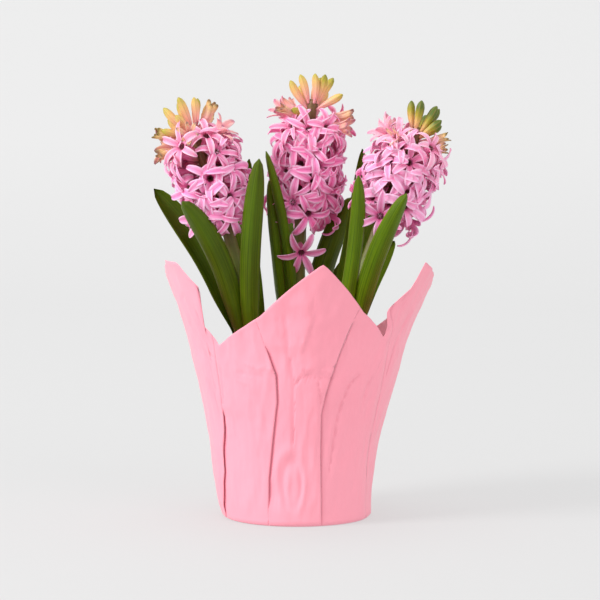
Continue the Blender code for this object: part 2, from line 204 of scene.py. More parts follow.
# How pale each bloom is, from 0 to 1
PALENESS = {"left": 0.25, "centre": 0.0, "right": 0.55}
FLORET_COUNT = {"left": 40, "centre": 48, "right": 39}
FLORET_SPACING = 11.4
CLOSEST_SPACING = 8.0
THROAT_DISTANCE = 19.0
GOLDEN_ANGLE = 137.508
SPREAD_STEP = 0.754878
TRIES = 240
SPREAD_RANGE = (36, 60)
CURL_RANGE = (112, 176)
# The lone floret low on the stalk looks down and opens flat: degrees up, size, spread, curl
LONE_FLORET = (-24, 0.94, 56, 112)
LONE_LEVEL = -0.2
YOUNG_TUBE = 13.2
TEPALS = 6
LOBE_POINTS = 6
RING = TEPALS * LOBE_POINTS
TUBE_RADII = [1.15, 1.9, 2.5, 2.5, 2.1, 2.2, 3.0]
TUBE_SHARE = 0.42  # of the length of the UV map
LOBE_ROWS = 12
LOBE_ROOT = 1.62
PETAL_THICKNESS = 0.42
ANTHER_SIDES = 5

# Buds: (share of the stalk, azimuth, degrees up, length, hue from pink 0 to green 1). The first eight
# of each stalk stand for the CAD's buds.
CAD_BUDS = 8
BUDS = {
    "left": [
        (0.985, 185, 62, 22, 0.36), (0.98, 330, 60, 22, 0.14), (0.985, 40, 62, 20, 0.4),
        (0.962, 355, 42, 21, 0.24), (0.958, 200, 34, 20, 0.32), (0.975, 100, 58, 21, 0.45),
        (0.96, 150, 44, 20, 0.4), (0.965, 250, 52, 20, 0.12), (0.99, 285, 76, 23, 0.26),
        (0.99, 120, 78, 20, 0.6),
    ],
    "centre": [
        (0.965, 184, 42, 22, 0.3), (0.985, 205, 68, 20, 0.36), (0.988, 285, 76, 20, 0.24),
        (0.985, 20, 68, 21, 0.58), (0.966, 345, 38, 21, 0.24), (0.98, 95, 66, 20, 0.45),
        (0.958, 135, 46, 19, 0.35), (0.958, 52, 42, 19, 0.35), (0.988, 330, 74, 21, 0.62),
        (0.94, 232, 10, 16, 0.42),
    ],
    "right": [
        (0.98, 180, 60, 20, 0.72), (0.988, 115, 74, 20, 1.3), (0.988, 235, 72, 20, 0.98),
        (0.988, 310, 72, 20, 1.12), (0.985, 25, 72, 20, 1.32), (0.968, 330, 56, 19, 1.08),
        (0.966, 8, 50, 17, 1.05), (0.965, 75, 48, 20, 1.05),
    ],
}


# ---- small helpers


def smooth(x):
    """The smooth step of a number or an array, held between 0 and 1."""
    x = np.clip(x, 0.0, 1.0)
    return x * x * (3 - 2 * x)


def mesh_object(name, points, faces, uvs=None, attributes=None, materials=(), slots=None):
    """An object from points in metres. uvs and attributes hold one value for each point."""
    mesh = bpy.data.meshes.new(name)
    mesh.from_pydata([tuple(map(float, p)) for p in points], [], [list(map(int, f)) for f in faces])
    if uvs is not None:
        loops = np.empty(len(mesh.loops), np.int32)
        mesh.loops.foreach_get("vertex_index", loops)
        layer = mesh.uv_layers.new(name="UVMap")
        layer.data.foreach_set("uv", np.asarray(uvs, np.float32)[loops].ravel())
    for key, values in (attributes or {}).items():
        mesh.attributes.new(key, "FLOAT", "POINT").data.foreach_set("value", np.asarray(values, np.float32))
    for material in materials:
        mesh.materials.append(material)
    if slots is not None:
        mesh.polygons.foreach_set("material_index", np.asarray(slots, np.int32))
    mesh.shade_smooth()
    mesh.update()
    made = bpy.data.objects.new(name, mesh)
    bpy.context.scene.collection.objects.link(made)
    return made


def thicken(piece, thickness, offset=0.0, back_slot=0):
    """Gives an open surface a thickness, and its back a material slot of its own."""
    skin = piece.modifiers.new("Skin", "SOLIDIFY")
    skin.thickness = thickness
    skin.offset = offset
    skin.material_offset = back_slot
    skin.material_offset_rim = 0
    return skin


def settle(piece, slot, *nodes):
    """Rides the piece on the one body and hides the CAD nodes it stands for. The slot is not used."""
    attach(piece, "root")
    if nodes:
        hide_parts(*nodes)


def bezier(corners, share):
    """The point and the direction at a share of a cubic curve."""
    a, b, c, d = corners
    rest = 1 - share
    point = a * rest**3 + b * 3 * rest**2 * share + c * 3 * rest * share**2 + d * share**3
    slope = (b - a) * rest**2 + (c - b) * 2 * rest * share + (d - c) * share**2
    return point, slope.normalized()


def heading(angle):
    return Vector((math.cos(angle), math.sin(angle), 0))


def steps_round(count):
    """Numbers and angles of evenly spaced places round a circle."""
    return [(c, 2 * math.pi * c / count) for c in range(count)]


def axes_across(direction, toward):
    """Two axes across a direction, the first one as near to toward as it can be."""
    first = (toward - direction * toward.dot(direction)).normalized()
    return first, direction.cross(first)


# ---- materials


class Shader:
    """A Principled material and short ways to add nodes to it."""

    def __init__(self, name, **constants):
        self.material = bpy.data.materials.new(name)
        self.material.use_nodes = True
        self.tree = self.material.node_tree
        self.shader = self.tree.nodes["Principled BSDF"]
        for key, value in constants.items():
            self.shader.inputs[key.replace("_", " ")].default_value = value

    def add(self, kind, inputs=None, **settings):
        node = self.tree.nodes.new("ShaderNode" + kind)
        for key, value in settings.items():
            setattr(node, key, value)
        for key, value in (inputs or {}).items():
            self.feed(node.inputs[key], value)
        return node

    def feed(self, socket, value):
        if isinstance(value, bpy.types.NodeSocket):
            self.tree.links.new(value, socket)
        else:
            socket.default_value = value

    def set(self, key, value):
        self.feed(self.shader.inputs[key], value)

    def paint(self, value):
        self.set("Base Color", value)

    def rough(self, factor, low, high):
        """Roughness between two values, as a factor says."""
        self.set("Roughness", self.add("MapRange", {0: factor, 3: low, 4: high}).outputs[0])

    def math(self, operation, a, b=0.0):
        return self.add("Math", {0: a, 1: b}, operation=operation).outputs[0]

    def times(self, a, b):
        return self.math("MULTIPLY", a, b)

    def from_middle(self, value):
        """How far a value between 0 and 1 lies from 0.5."""
        return self.math("ABSOLUTE", self.math("SUBTRACT", value, 0.5))

    def ramp(self, factor, *stops):
        """Colours or greys at places along a factor."""
        node = self.add("ValToRGB", {"Fac": factor})
        elements = node.color_ramp.elements
        while len(elements) < len(stops):
            elements.new(0.5)
        for element, (place, colour) in zip(elements, stops):
            element.position = place
            element.color = (*colour, 1.0) if isinstance(colour, tuple) else (colour, colour, colour, 1.0)
        return node.outputs["Color"]

    def mix(self, factor, a, b):
        node = self.add("Mix", data_type="RGBA")
        for socket, value in ((node.inputs[0], factor), (node.inputs[6], a), (node.inputs[7], b)):
            self.feed(socket, (*value, 1.0) if isinstance(value, tuple) else value)
        return node.outputs[2]

    def uv(self):
        parts = self.add("SeparateXYZ", {0: self.add("UVMap", uv_map="UVMap").outputs[0]})
        return parts.outputs[0], parts.outputs[1]

    def place(self, scale=(1, 1, 1)):
        """Object coordinates stretched by a scale along each axis."""
        mapping = self.add("Mapping", {"Vector": self.add("TexCoord").outputs["Object"]})
        mapping.inputs["Scale"].default_value = scale
        return mapping.outputs[0]

    def noise(self, coordinates, scale, detail=3.0, roughness=0.55, distortion=0.0):
        inputs = {"Vector": coordinates, "Scale": scale, "Detail": detail, "Roughness": roughness}
        return self.add("TexNoise", inputs | {"Distortion": distortion}).outputs["Fac"]

    def streaks(self, across_scale, along_scale, detail=3.0, roughness=0.6):
        """Noise drawn out into lines that run along the UV map."""
        across, along = self.uv()
        scaled = {0: self.times(across, across_scale), 1: self.times(along, along_scale)}
        return self.noise(self.add("CombineXYZ", scaled).outputs[0], 1.0, detail, roughness)

    def attribute(self, name):
        return self.add("Attribute", attribute_name=name).outputs["Fac"]

    def finish(self, height, strength, distance):
        """Adds the bump and gives the finished material."""
        node = self.add("Bump", {"Height": height, "Strength": strength, "Distance": distance})
        self.set("Normal", node.outputs["Normal"])
        return self.material


def wrap_material():
    made = Shader("wrap_paper", Specular_IOR_Level=0.35, Sheen_Weight=0.15, Sheen_Roughness=0.5)
    cloud = made.noise(made.place(), 9.0, 4.0)
    fibre = made.noise(made.place((1, 1, 0.12)), 420.0, 5.0, 0.65)
    crinkle = made.noise(made.place((1, 1, 0.22)), 95.0, 6.0, 0.6, 0.8)
    base = made.ramp(cloud, (0.3, (1.0, 0.33, 0.422)), (0.7, (1.0, 0.368, 0.458)))
    tint = made.mix(made.times(fibre, 0.25), base, (1.0, 0.42, 0.52))
    # Painted shade: the paper turns deep pink where the fold attribute says, beside each fold's edge where
    # the next layer comes out from under it
    painted_fold_shade = made.times(made.attribute("fold"), 0.62)
    made.paint(made.mix(painted_fold_shade, tint, (0.5, 0.09, 0.16)))
    made.rough(crinkle, 0.42, 0.66)
    return made.finish(made.math("ADD", made.times(fibre, 0.25), crinkle), 0.35, 0.0007)


def leaf_material():
    made = Shader("leaf_green", Specular_IOR_Level=0.14)
    across, along = made.uv()
    centre = made.from_middle(across)
    veins = made.streaks(46.0, 1.2, 2.0)
    mottle = made.noise(made.place((1, 1, 0.4)), 55.0, 3.0)
    length = made.ramp(
        along, (0.0, (0.28, 0.42, 0.01)), (0.32, (0.12, 0.225, 0.001)), (0.65, (0.052, 0.115, 0.001)),
        (1.0, (0.07, 0.135, 0.001)),
    )
    darker = made.mix(made.ramp(mottle, (0.35, 0.0), (0.68, 0.75)), length, (0.03, 0.048, 0.001))
    striped = made.mix(made.ramp(veins, (0.42, 0.0), (0.62, 0.5)), darker, (0.19, 0.3, 0.002))
    edge = made.ramp(centre, (0.44, 0.0), (0.5, 0.75))
    edged = made.mix(edge, striped, (0.3, 0.4, 0.03))
    # Painted shade: some whole leaves are mixed towards a dark green, as far as their shade attribute says
    made.paint(made.mix(made.attribute("shade"), edged, (0.03, 0.036, 0.004)))
    made.rough(mottle, 0.3, 0.48)
    return made.finish(veins, 0.35, 0.0005)


def stalk_material():
    made = Shader("stalk_green", Specular_IOR_Level=0.45)
    _, along = made.uv()
    streaks = made.streaks(30.0, 3.0)
    length = made.ramp(
        along, (0.0, (0.26, 0.36, 0.06)), (0.45, (0.2, 0.26, 0.04)), (0.62, (0.17, 0.12, 0.035)),
        (1.0, (0.2, 0.11, 0.04)),
    )
    made.paint(made.mix(made.times(streaks, 0.5), length, (0.1, 0.07, 0.03)))
    made.rough(streaks, 0.35, 0.55)
    return made.finish(streaks, 0.3, 0.0006)


def petal_material(name, face):
    """The face of a tepal has a dark midrib between pale margins, and its back is deeper pink."""
    made = Shader(name, Specular_IOR_Level=0.3, Subsurface_Weight=0.2, Subsurface_Scale=0.004)
    made.set("Subsurface Radius", (1.0, 0.45, 0.6))
    across, along = made.uv()
    centre = made.from_middle(across)
    veins = made.streaks(16.0, 1.5)
    wobble = made.math("ADD", centre, made.times(made.math("SUBTRACT", veins, 0.5), 0.1))
    pale, mid, dark = (1.0, 0.6, 0.83), (0.97, 0.235, 0.52), (0.86, 0.1, 0.34)
    if not face:
        pale, mid, dark = (0.98, 0.42, 0.68), (0.94, 0.2, 0.46), (0.82, 0.1, 0.31)
    bands = made.ramp(wobble, (0.0, dark), (0.1, mid), (0.24, mid), (0.46, pale))
    tint = made.attribute("tint")
    varied = made.mix(made.times(tint, 0.5), bands, (1.0, 0.58, 0.8))
    deep = made.ramp(along, (0.4, 0.75), (0.62, 0.0))
    rooted = made.mix(deep, varied, (0.92, 0.15, 0.42))
    if face:
        throat = made.ramp(along, (0.34, 1.0), (0.43, 0.0))
        rooted = made.mix(throat, rooted, (0.3, 0.05, 0.16))
    else:
        heel = made.ramp(along, (0.0, 0.8), (0.22, 0.0))
        rooted = made.mix(heel, rooted, (0.36, 0.3, 0.08))
    fresh = made.ramp(
        along, (0.3, (0.86, 0.37, 0.4)), (0.6, (0.88, 0.5, 0.33)), (0.86, (0.74, 0.48, 0.17)),
        (0.96, (0.16, 0.13, 0.02)),
    )
    made.paint(made.mix(made.attribute("youth"), rooted, fresh))
    made.rough(veins, 0.42, 0.58)
    return made.finish(veins, 0.35, 0.0004)


def anther_material():
    made = Shader("anther", Roughness=0.7)
    grain = made.noise(made.place(), 2500.0, 2.0)
    made.paint(made.ramp(grain, (0.3, (0.07, 0.025, 0.03)), (0.7, (0.24, 0.13, 0.07))))
    return made.finish(grain, 0.4, 0.0002)


def bud_material():
    """Pink at the foot, then peach and yellow, then green at the tip. The hue attribute moves it along."""
    made = Shader("bud_blush", Specular_IOR_Level=0.4, Subsurface_Weight=0.1, Subsurface_Scale=0.003)
    across, along = made.uv()
    hue = made.attribute("hue")
    streaks = made.streaks(24.0, 1.5)
    shifted = made.math("ADD", made.times(along, 0.62), made.times(hue, 0.4))
    shifted = made.math("ADD", shifted, made.times(made.math("SUBTRACT", streaks, 0.5), 0.22))
    colour = made.ramp(
        shifted, (0.16, (0.87, 0.37, 0.42)), (0.4, (0.86, 0.48, 0.32)), (0.58, (0.78, 0.5, 0.18)),
        (0.74, (0.42, 0.37, 0.035)), (0.92, (0.09, 0.14, 0.008)),
    )
    seam = made.from_middle(made.math("FRACT", made.times(across, 6.0)))
    made.paint(made.mix(made.ramp(seam, (0.36, 0.0), (0.5, 0.45)), colour, (0.45, 0.2, 0.08)))
    made.rough(streaks, 0.38, 0.55)
    return made.finish(streaks, 0.3, 0.0004)


def soil_material():
    made = Shader("soil", Specular_IOR_Level=0.2)
    place = made.place()
    grain = made.noise(place, 420.0, 6.0, 0.7)
    cells = made.add("TexVoronoi", {"Vector": place, "Scale": 260.0})
    brown = made.ramp(grain, (0.3, (0.012, 0.008, 0.005)), (0.7, (0.075, 0.042, 0.022)))
    pearl = made.ramp(made.noise(place, 150.0, 1.0), (0.7, 0.0), (0.73, 0.8))
    made.paint(made.mix(pearl, brown, (0.55, 0.5, 0.42)))
    made.rough(grain, 0.8, 0.98)
    return made.finish(made.math("ADD", grain, cells.outputs["Distance"]), 0.8, 0.0015)


def pot_material():
    made = Shader("pot_plastic", Specular_IOR_Level=0.4)
    grain = made.noise(made.place(), 900.0, 3.0)
    scuff = made.noise(made.place((1, 1, 0.2)), 60.0, 4.0)
    made.paint(made.ramp(scuff, (0.35, (0.16, 0.05, 0.026)), (0.75, (0.25, 0.085, 0.045))))
    made.rough(scuff, 0.42, 0.62)
    return made.finish(grain, 0.15, 0.0003)


def bulb_material():
    made = Shader("bulb_skin", Specular_IOR_Level=0.4)
    _, along = made.uv()
    streaks = made.streaks(60.0, 2.0, 5.0, 0.65)
    patches = made.noise(made.place(), 70.0, 3.0)
    dark, mid, pale = (0.16, 0.045, 0.075), (0.34, 0.13, 0.15), (0.55, 0.36, 0.24)
    skin = made.ramp(streaks, (0.3, dark), (0.55, mid), (0.8, pale))
    neck = made.mix(made.ramp(along, (0.8, 0.0), (1.0, 0.8)), skin, (0.6, 0.55, 0.3))
    made.paint(made.mix(made.ramp(patches, (0.6, 0.0), (0.68, 0.6)), neck, (0.62, 0.44, 0.33)))
    made.rough(streaks, 0.35, 0.6)
    return made.finish(streaks, 0.5, 0.0008)


def studio_material():
    """White paper that glows a little, and is paler towards the back and higher up."""
    made = Shader("studio_paper", Roughness=0.85, Specular_IOR_Level=0.1, Emission_Strength=STUDIO_GLOW)
    cloud = made.noise(made.place(), 2.0, 2.0)
    parts = made.add("SeparateXYZ", {0: made.add("TexCoord").outputs["Object"]}).outputs
    behind = made.times(made.math("MAXIMUM", parts[1], 0.0), 0.1)
    grey = made.ramp(made.math("ADD", parts[2], behind), (0.02, 0.2), (0.18, 0.256), (0.42, 0.29))
    made.paint(made.mix(made.times(cloud, 0.05), grey, (0.34, 0.34, 0.34)))
    made.set("Emission Color", (1.0, 1.0, 1.0, 1.0))
    return made.material


# ---- wrap


def profile(arc):
    """Radius and height of the wall at a distance along the paper from the centre, in mm."""
    flat_end = BASE_RADIUS - BASE_ROUND
    turn = BASE_ROUND * math.pi / 2
    angle = np.clip((arc - flat_end) / BASE_ROUND, 0, math.pi / 2)
    wall = np.maximum(arc - flat_end - turn, 0.0)
    radius = np.minimum(arc, flat_end) + BASE_ROUND * np.sin(angle)
    height = BASE_ROUND * (1 - np.cos(angle)) + wall * WALL_CLIMB
    return radius + TAPER * wall * WALL_CLIMB + FLARE * height**3, height


def bulge(degrees, height):
    """How far the wall swells beyond its plain profile, in mm."""
    level, reach, growth = WAIST
    total = growth * np.exp(-(((height - level) / reach) ** 2))
    for middle, spread, level, reach, growth in BULGES:
        away = (degrees - middle + 180) % 360 - 180
        near = np.exp(-((away / spread) ** 2) - ((height - level) / reach) ** 2)
        total = total + growth * near * np.clip(height / 8, 0, 1)
    return total


def rim_height(degrees):
    """The rim's height, kept sharp at a corner that falls between two columns."""
    first = RIM[0][0]
    around = (np.asarray(degrees) - first) % 360 + first
    at = [np.interp(around + step, *zip(*RIM)) for step in (-0.35, 0, 0.35)]
    return np.maximum(np.maximum(at[0], at[1]), at[2])


def pleat_edge(pleat, height):
    """Degrees round from the front of a pleat's edge at a height."""
    return np.interp(height, *zip(*pleat[0]))


def pleat_strength(pleat, height):
    """How much of the fold shows at a height: it opens out above and below its ends."""
    low, high = pleat[1]
    return smooth((height - low + 4) / 12) * smooth((high + 2 - height) / 9)


def wrap_columns():
    """The walk round the sheet: for each pleat's panel, then its layer back and its layer forward."""
    columns = []
    for k in range(len(PLEATS)):
        for part, count in (("panel", PANEL_COLUMNS), ("back", FOLD_COLUMNS), ("under", FOLD_COLUMNS)):
            columns += [(k, part, c / count) for c in range(count)]
    return columns


def wrap_column(k, part, share, height):
    """Degrees round from the front and change of radius in mm of one column at these heights.

    The panel starts tucked under the fold before it. The two layers behind the fold lie deeper.
    """
    before, pleat = PLEATS[k - 1], PLEATS[k]
    turn = 360.0 if k == 0 else 0.0
    start, end = pleat_edge(before, height) - turn, pleat_edge(pleat, height)
    radius = BASE_RADIUS + TAPER * height + FLARE * height**3
    strength = pleat_strength(pleat, height)
    span = (end - start) * WIDEST_FOLD
    depth = np.minimum(np.degrees(FOLD_DEPTH_PER_HEIGHT * height / radius), span) * strength
    gap = LAYER_GAP * strength
    gap_before = LAYER_GAP * pleat_strength(before, height)
    if part == "panel":
        return start + (end - start) * share, -2.5 * gap_before * (1 - share) ** 1.5
    if part == "back":
        return end - depth * share, -gap * (0.2 + 2.4 * share**0.7)
    return end - depth * (1 - share), -gap * (3.4 - 0.9 * share)


def ridge(across, height, points, width, rise):
    """A pressed crease along a line of (degrees, height) points, as a change of the surface in mm."""
    best = np.full_like(across, 1e9)
    side = np.zeros_like(across)
    scale = 1.1  # mm for each degree round the wall
    for (x0, y0), (x1, y1) in zip(points, points[1:]):
        dx, dy = (x1 - x0) * scale, y1 - y0
        t = np.clip(((across - x0) * scale * dx + (height - y0) * dy) / (dx * dx + dy * dy), 0, 1)
        ox, oy = (across - x0) * scale - t * dx, height - y0 - t * dy
        distance = np.hypot(ox, oy)
        nearer = distance < best
        best = np.where(nearer, distance, best)
        side = np.where(nearer, np.sign(ox * dy - oy * dx), side)
    return rise * np.exp(-((best / width) ** 2)) * (0.55 + 0.45 * side)


# Pressed creases as (points of degrees and height, width, rise)
CREASES = [
    ([(-57, 112), (-57, 97), (-59, 84)], 1.5, -1.1),
    ([(-46, 104), (-46.5, 94), (-49, 82)], 1.6, -0.9),
    ([(-60, 128), (-57, 120), (-56, 112)], 1.3, -0.8),
    ([(-66, 134), (-62, 124), (-61, 108), (-62, 90)], 1.2, -0.9),
    ([(-5, 142), (-4, 118), (-1, 97), (-1.5, 78), (-2, 58)], 2.0, -1.0),
    ([(-1, 97), (2, 102), (7, 104)], 1.3, -0.9),
    ([(-9, 140), (-8, 132), (-6, 128)], 1.6, -0.8),
    ([(6, 150), (7, 138), (4, 124)], 5.0, 0.9),
    ([(20, 100), (12, 101), (5, 100)], 1.4, -0.7),
    ([(18, 104), (10, 106), (3, 106)], 1.5, 0.5),
    ([(37, 101), (31, 96), (28, 84), (26, 70), (25, 54), (24, 38)], 1.2, -1.3),
    ([(47, 100), (44, 94), (43.5, 86)], 1.2, -0.9),
    ([(12.2, 98), (13.0, 92), (14.4, 83)], 1.0, -1.1),
    ([(52, 120), (49, 106), (46, 96)], 1.6, 0.6),
    ([(-28, 110), (-22, 107), (-18, 109), (-14, 106)], 1.3, 0.9),
    ([(-34, 104), (-26, 103), (-19, 102)], 1.2, -0.7),
    ([(-36, 98), (-27, 96)], 1.2, 0.6),
    ([(-66, 150), (-63, 153), (-61, 157)], 1.2, -0.9),
    ([(-58, 146), (-55, 139), (-53, 131)], 1.4, -0.8),
    ([(12, 108), (18, 109), (24, 108)], 1.1, -0.5),
    ([(66, 140), (62, 120), (60, 100)], 1.5, -0.8),
    ([(72, 150), (66, 128), (64, 106)], 1.6, 0.7),
    ([(120, 110), (124, 80), (128, 40)], 2.0, -0.9),
    ([(170, 120), (176, 90), (174, 50)], 2.2, 0.9),
    ([(182, 60), (186, 40), (184, 20)], 2.0, -0.8),
    ([(222, 96), (218, 70), (222, 34)], 1.8, -0.9),
    ([(262, 120), (258, 90), (262, 60)], 1.6, -0.8),
]
# Nested long ovals pressed low on the front panel: (degrees, height, half width, half height, rise)
OVALS = [(-4.5, 30, 10, 22, 0.8), (-3.5, 28, 6.5, 16, -0.7), (-3.0, 26, 3.2, 10, 0.6)]
# The paper's long, middle and fine waves and its dents: (scale across, scale up, shift up)
GRAIN = [(0.026, 0.013, 0), (0.13, 0.028, 0), (0.42, 0.06, 0), (0.11, 0.11, 40)]


def wrap_relief(across, height, place):
    """Undulation, crinkles and creases of the paper, in mm outwards."""
    relief = np.zeros_like(across)
    for index in np.ndindex(across.shape):
        x, y, z = place[index]
        low, mid, fine, dent = (Vector((x * side, y * side, z * up + away)) for side, up, away in GRAIN)
        value = noise.noise(low) + 0.75 * noise.noise(mid)
        value += 0.5 * (0.5 - abs(noise.noise(mid + Vector((7, 3, 1)))) * 2)
        value += 0.22 * noise.noise(fine) + 0.3 * abs(noise.noise(dent))
        relief[index] = value
    for points, width, rise in CREASES:
        relief += ridge(across, height, points, width, rise)
    for middle, level, half, reach, rise in OVALS:
        away = np.hypot((across - middle) / half, (height - level) / reach)
        relief += rise * np.exp(-(((away - 1) * min(half, 8) / 1.6) ** 2))
    return relief


def wrap_wall(columns):
    """Angles, heights, radii and the painted shade beside the fold lines, of the wall's points, by row and
    column.
    """
    shape = (WALL_ROWS, len(columns))
    degrees, heights, depths, radii, fold = (np.zeros(shape) for _ in range(5))
    shares = np.linspace(0.0, 1.0, WALL_ROWS)
    start_arc = BASE_RADIUS - BASE_ROUND
    for c, (k, part, share) in enumerate(columns):
        top_guess = 120.0
        for _ in range(4):  # the rim's height depends on where round the rim the column ends
            around, _ = wrap_column(k, part, share, np.array([top_guess]))
            top_guess = float(rim_height(around)[0])
        arc = start_arc + shares**0.92 * (top_guess / WALL_CLIMB + BASE_ROUND * 0.5)
        radius, height = profile(arc)
        around, depth = wrap_column(k, part, share, height)
        degrees[:, c], heights[:, c], depths[:, c], radii[:, c] = around, height, depth, radius
    for middle, spread, level, reach, shift in RIM_SWINGS:
        degrees += shift * np.exp(-(((degrees - middle) / spread) ** 2) - ((heights - level) / reach) ** 2)
    # Painted shade beside each fold: full on a panel's first column, where it comes out from under the fold,
    # and less on the next
    for c, (k, part, share) in enumerate(columns):
        if part == "panel" and share < 2 / PANEL_COLUMNS:
            fold[:, c] = pleat_strength(PLEATS[k - 1], heights[:, c]) * (1.0 if share == 0 else 0.45)
    angle = np.radians(degrees - 90)
    place = np.stack([radii * np.cos(angle), radii * np.sin(angle), heights], axis=-1)
    relief = wrap_relief(degrees, heights, place)
    radii = radii + bulge(degrees, heights) - PAPER_INSET + depths + relief * smooth(heights / 16)
    return angle, heights, radii, fold


def make_wrap(material):
    """One square sheet: a round bottom, then a wall with eight three-layer pleats and four corners."""
    columns = wrap_columns()
    count = len(columns)
    bottom_arcs = (9.0, 18.0, 27.0, 36.0, 42.0)
    angle, heights, radii, fold = wrap_wall(columns)
    points = []
    for arc in bottom_arcs:
        for spin in angle[0]:
            points.append((arc * math.cos(spin) * MM, arc * math.sin(spin) * MM, FLOOR_HEIGHT * MM))
    for index in np.ndindex(radii.shape):
        x, y = radii[index] * math.cos(angle[index]), radii[index] * math.sin(angle[index])
        points.append((x * MM, y * MM, max(heights[index], FLOOR_HEIGHT) * MM))
    points.append((0.0, 0.0, FLOOR_HEIGHT * MM))
    faces = tube_faces(len(bottom_arcs) + WALL_ROWS, count)
    faces += [(len(points) - 1, (c + 1) % count, c) for c in range(count)]
    # Painted shade beside the folds for every point, none on the bottom and the centre
    fold_shade_values = np.concatenate([np.zeros(len(bottom_arcs) * count), fold.ravel(), [0.0]])
    wrap = mesh_object("paper_wrap", points, faces, None, {"fold": fold_shade_values}, [material])
    thicken(wrap, PAPER_THICKNESS * MM)
    settle(wrap, "wrap_paper", "pot_wrap")


# ---- plants


def stalk_corners(name):
    plant = PLANTS[name]
    x, y = plant["bulb"]
    return [Vector(p) * MM for p in ((x, y, BULB_TOP + TOUCH), *plant["stalk"])]


def stalk_radius(share):
    return (STALK_FOOT_RADIUS + (STALK_TOP_RADIUS - STALK_FOOT_RADIUS) * share) * MM


def tube_faces(rows, columns):
    """Four-sided faces between rows of points that run all the way round."""
    faces = []
    for low in range(0, (rows - 1) * columns, columns):
        high = low + columns
        for c in range(columns):
            after = (c + 1) % columns
            faces.append((low + c, low + after, high + after, high + c))
    return faces


def closed_tube(rows, columns, ring):
    """Points, faces and UVs of a closed tube. ring(row) gives a row's points and its UV along."""
    points, uvs = [], []
    for r in range(rows):
        around, along = ring(r)
        points += around
        uvs += [(c / columns, along) for c in range(columns)]
    faces = tube_faces(rows, columns)
    cap_ends(points, faces, uvs, rows, columns)
    return points, faces, uvs


def cap_ends(points, faces, uvs, rows, columns):
    """Closes both ends of a tube of points with fans."""
    for row, flip in ((0, True), (rows - 1, False)):
        ring = points[row * columns : (row + 1) * columns]
        middle = sum((Vector(p) for p in ring), Vector()) / columns
        points.append(middle)
        uvs.append((0.5, uvs[row * columns][1]))
        tip = len(points) - 1
        for c in range(columns):
            a, b = row * columns + c, row * columns + (c + 1) % columns
            faces.append((b, a, tip) if flip else (a, b, tip))


def make_stalk(name, material):
    """A fleshy ribbed stalk."""
    corners = stalk_corners(name)
    rows, columns = 70, 28

    def ring(r):
        share = r / (rows - 1)
        centre, along = bezier(corners, share)
        across, other = axes_across(along, Vector((1, 0, 0)))
        around = []
        for c, angle in steps_round(columns):
            rib = 0.22 * math.cos(7 * angle) + 0.25 * noise.noise(Vector((c * 0.9, share * 26, 3)))
            radius = stalk_radius(share) + rib * MM
            around.append(centre + (across * math.cos(angle) + other * math.sin(angle)) * radius)
        return around, share

    stalk = mesh_object(f"stalk_{name}", *closed_tube(rows, columns, ring), materials=[material])
    settle(stalk, "stalk_green", f"flower_stalk_{name}")


def leaf_half_width(share, widest):
    rise = min(1.0, share / 0.55)
    width = LEAF_FOOT_WIDTH + (widest - LEAF_FOOT_WIDTH) * rise * rise * (3 - 2 * rise)
    fall = max(0.0, (share - 0.74) / 0.26)
    return max(width * math.sqrt(max(0.0, 1 - fall**2.2)), 0.25)


def make_leaf(name, place, row, material):
    """A channelled strap with a keel, a hooded tip and slightly waved edges."""
    azimuth, shoulder, bend, tip, widest = row
    x, y = PLANTS[name]["bulb"]
    out = heading(math.radians(azimuth))
    foot = Vector((x, y, BULB_TOP + TOUCH)) * MM + out * LEAF_FOOT_DISTANCE * MM
    corners = [foot, Vector(shoulder) * MM, Vector(bend) * MM, Vector(tip) * MM]
    facing = Vector((0, 1 if out.y < 0 else -1, 0))
    seed = sum(ord(letter) for letter in name + place)
    columns = 2 * LEAF_COLUMNS - 2
    walk = [(c, False) for c in range(LEAF_COLUMNS)] + [(c, True) for c in range(LEAF_COLUMNS - 2, 0, -1)]
    points, uvs = [], []
    for station in range(LEAF_STATIONS):
        share = station / (LEAF_STATIONS - 1)
        centre, along = bezier(corners, share)
        turned = LEAF_TURN * float(smooth(share / 0.5))
        inward, across = axes_across(along, -out * (1 - turned) + facing * turned)
        width = leaf_half_width(share, widest)
        depth = LEAF_FOOT_DEPTH + (LEAF_CHANNEL * width - LEAF_FOOT_DEPTH) * min(1.0, share / 0.4)
        depth += 1.2 * smooth((share - 0.86) / 0.14)
        thick = LEAF_THICKNESS * (1 - 0.55 * share)
        wave = 0.7 * noise.noise(Vector((seed, share * 5, 0))) * smooth(share * 2)
        for c, behind in walk:
            v = 2 * c / (LEAF_COLUMNS - 1) - 1
            edge = noise.noise(Vector((seed + 5 * v, share * 9, 4))) * 0.45 * v * v * smooth(share * 2)
            lift = depth * abs(v) ** 1.8 + edge + wave * v
            if behind:
                keel = 0.35 * math.exp(-((v / 0.16) ** 2)) * (1 - share)
                lift = lift - thick * (1 - abs(v) ** 2.2) - keel
            points.append(centre + (across * width * v + inward * lift) * MM)
            uvs.append((0.5 + 0.5 * v, share))
    faces = tube_faces(LEAF_STATIONS, columns)
    cap_ends(points, faces, uvs, LEAF_STATIONS, columns)
    # The leaf's painted shade, the same all over it
    shades = {"shade": [LEAF_PAINTED_SHADE.get(place, 0.0)] * len(points)}
    leaf = mesh_object(f"leaf_blade_{name}_{place}", points, faces, uvs, shades, [material])
    settle(leaf, "leaf_green", f"leaf_{name}_{place}")


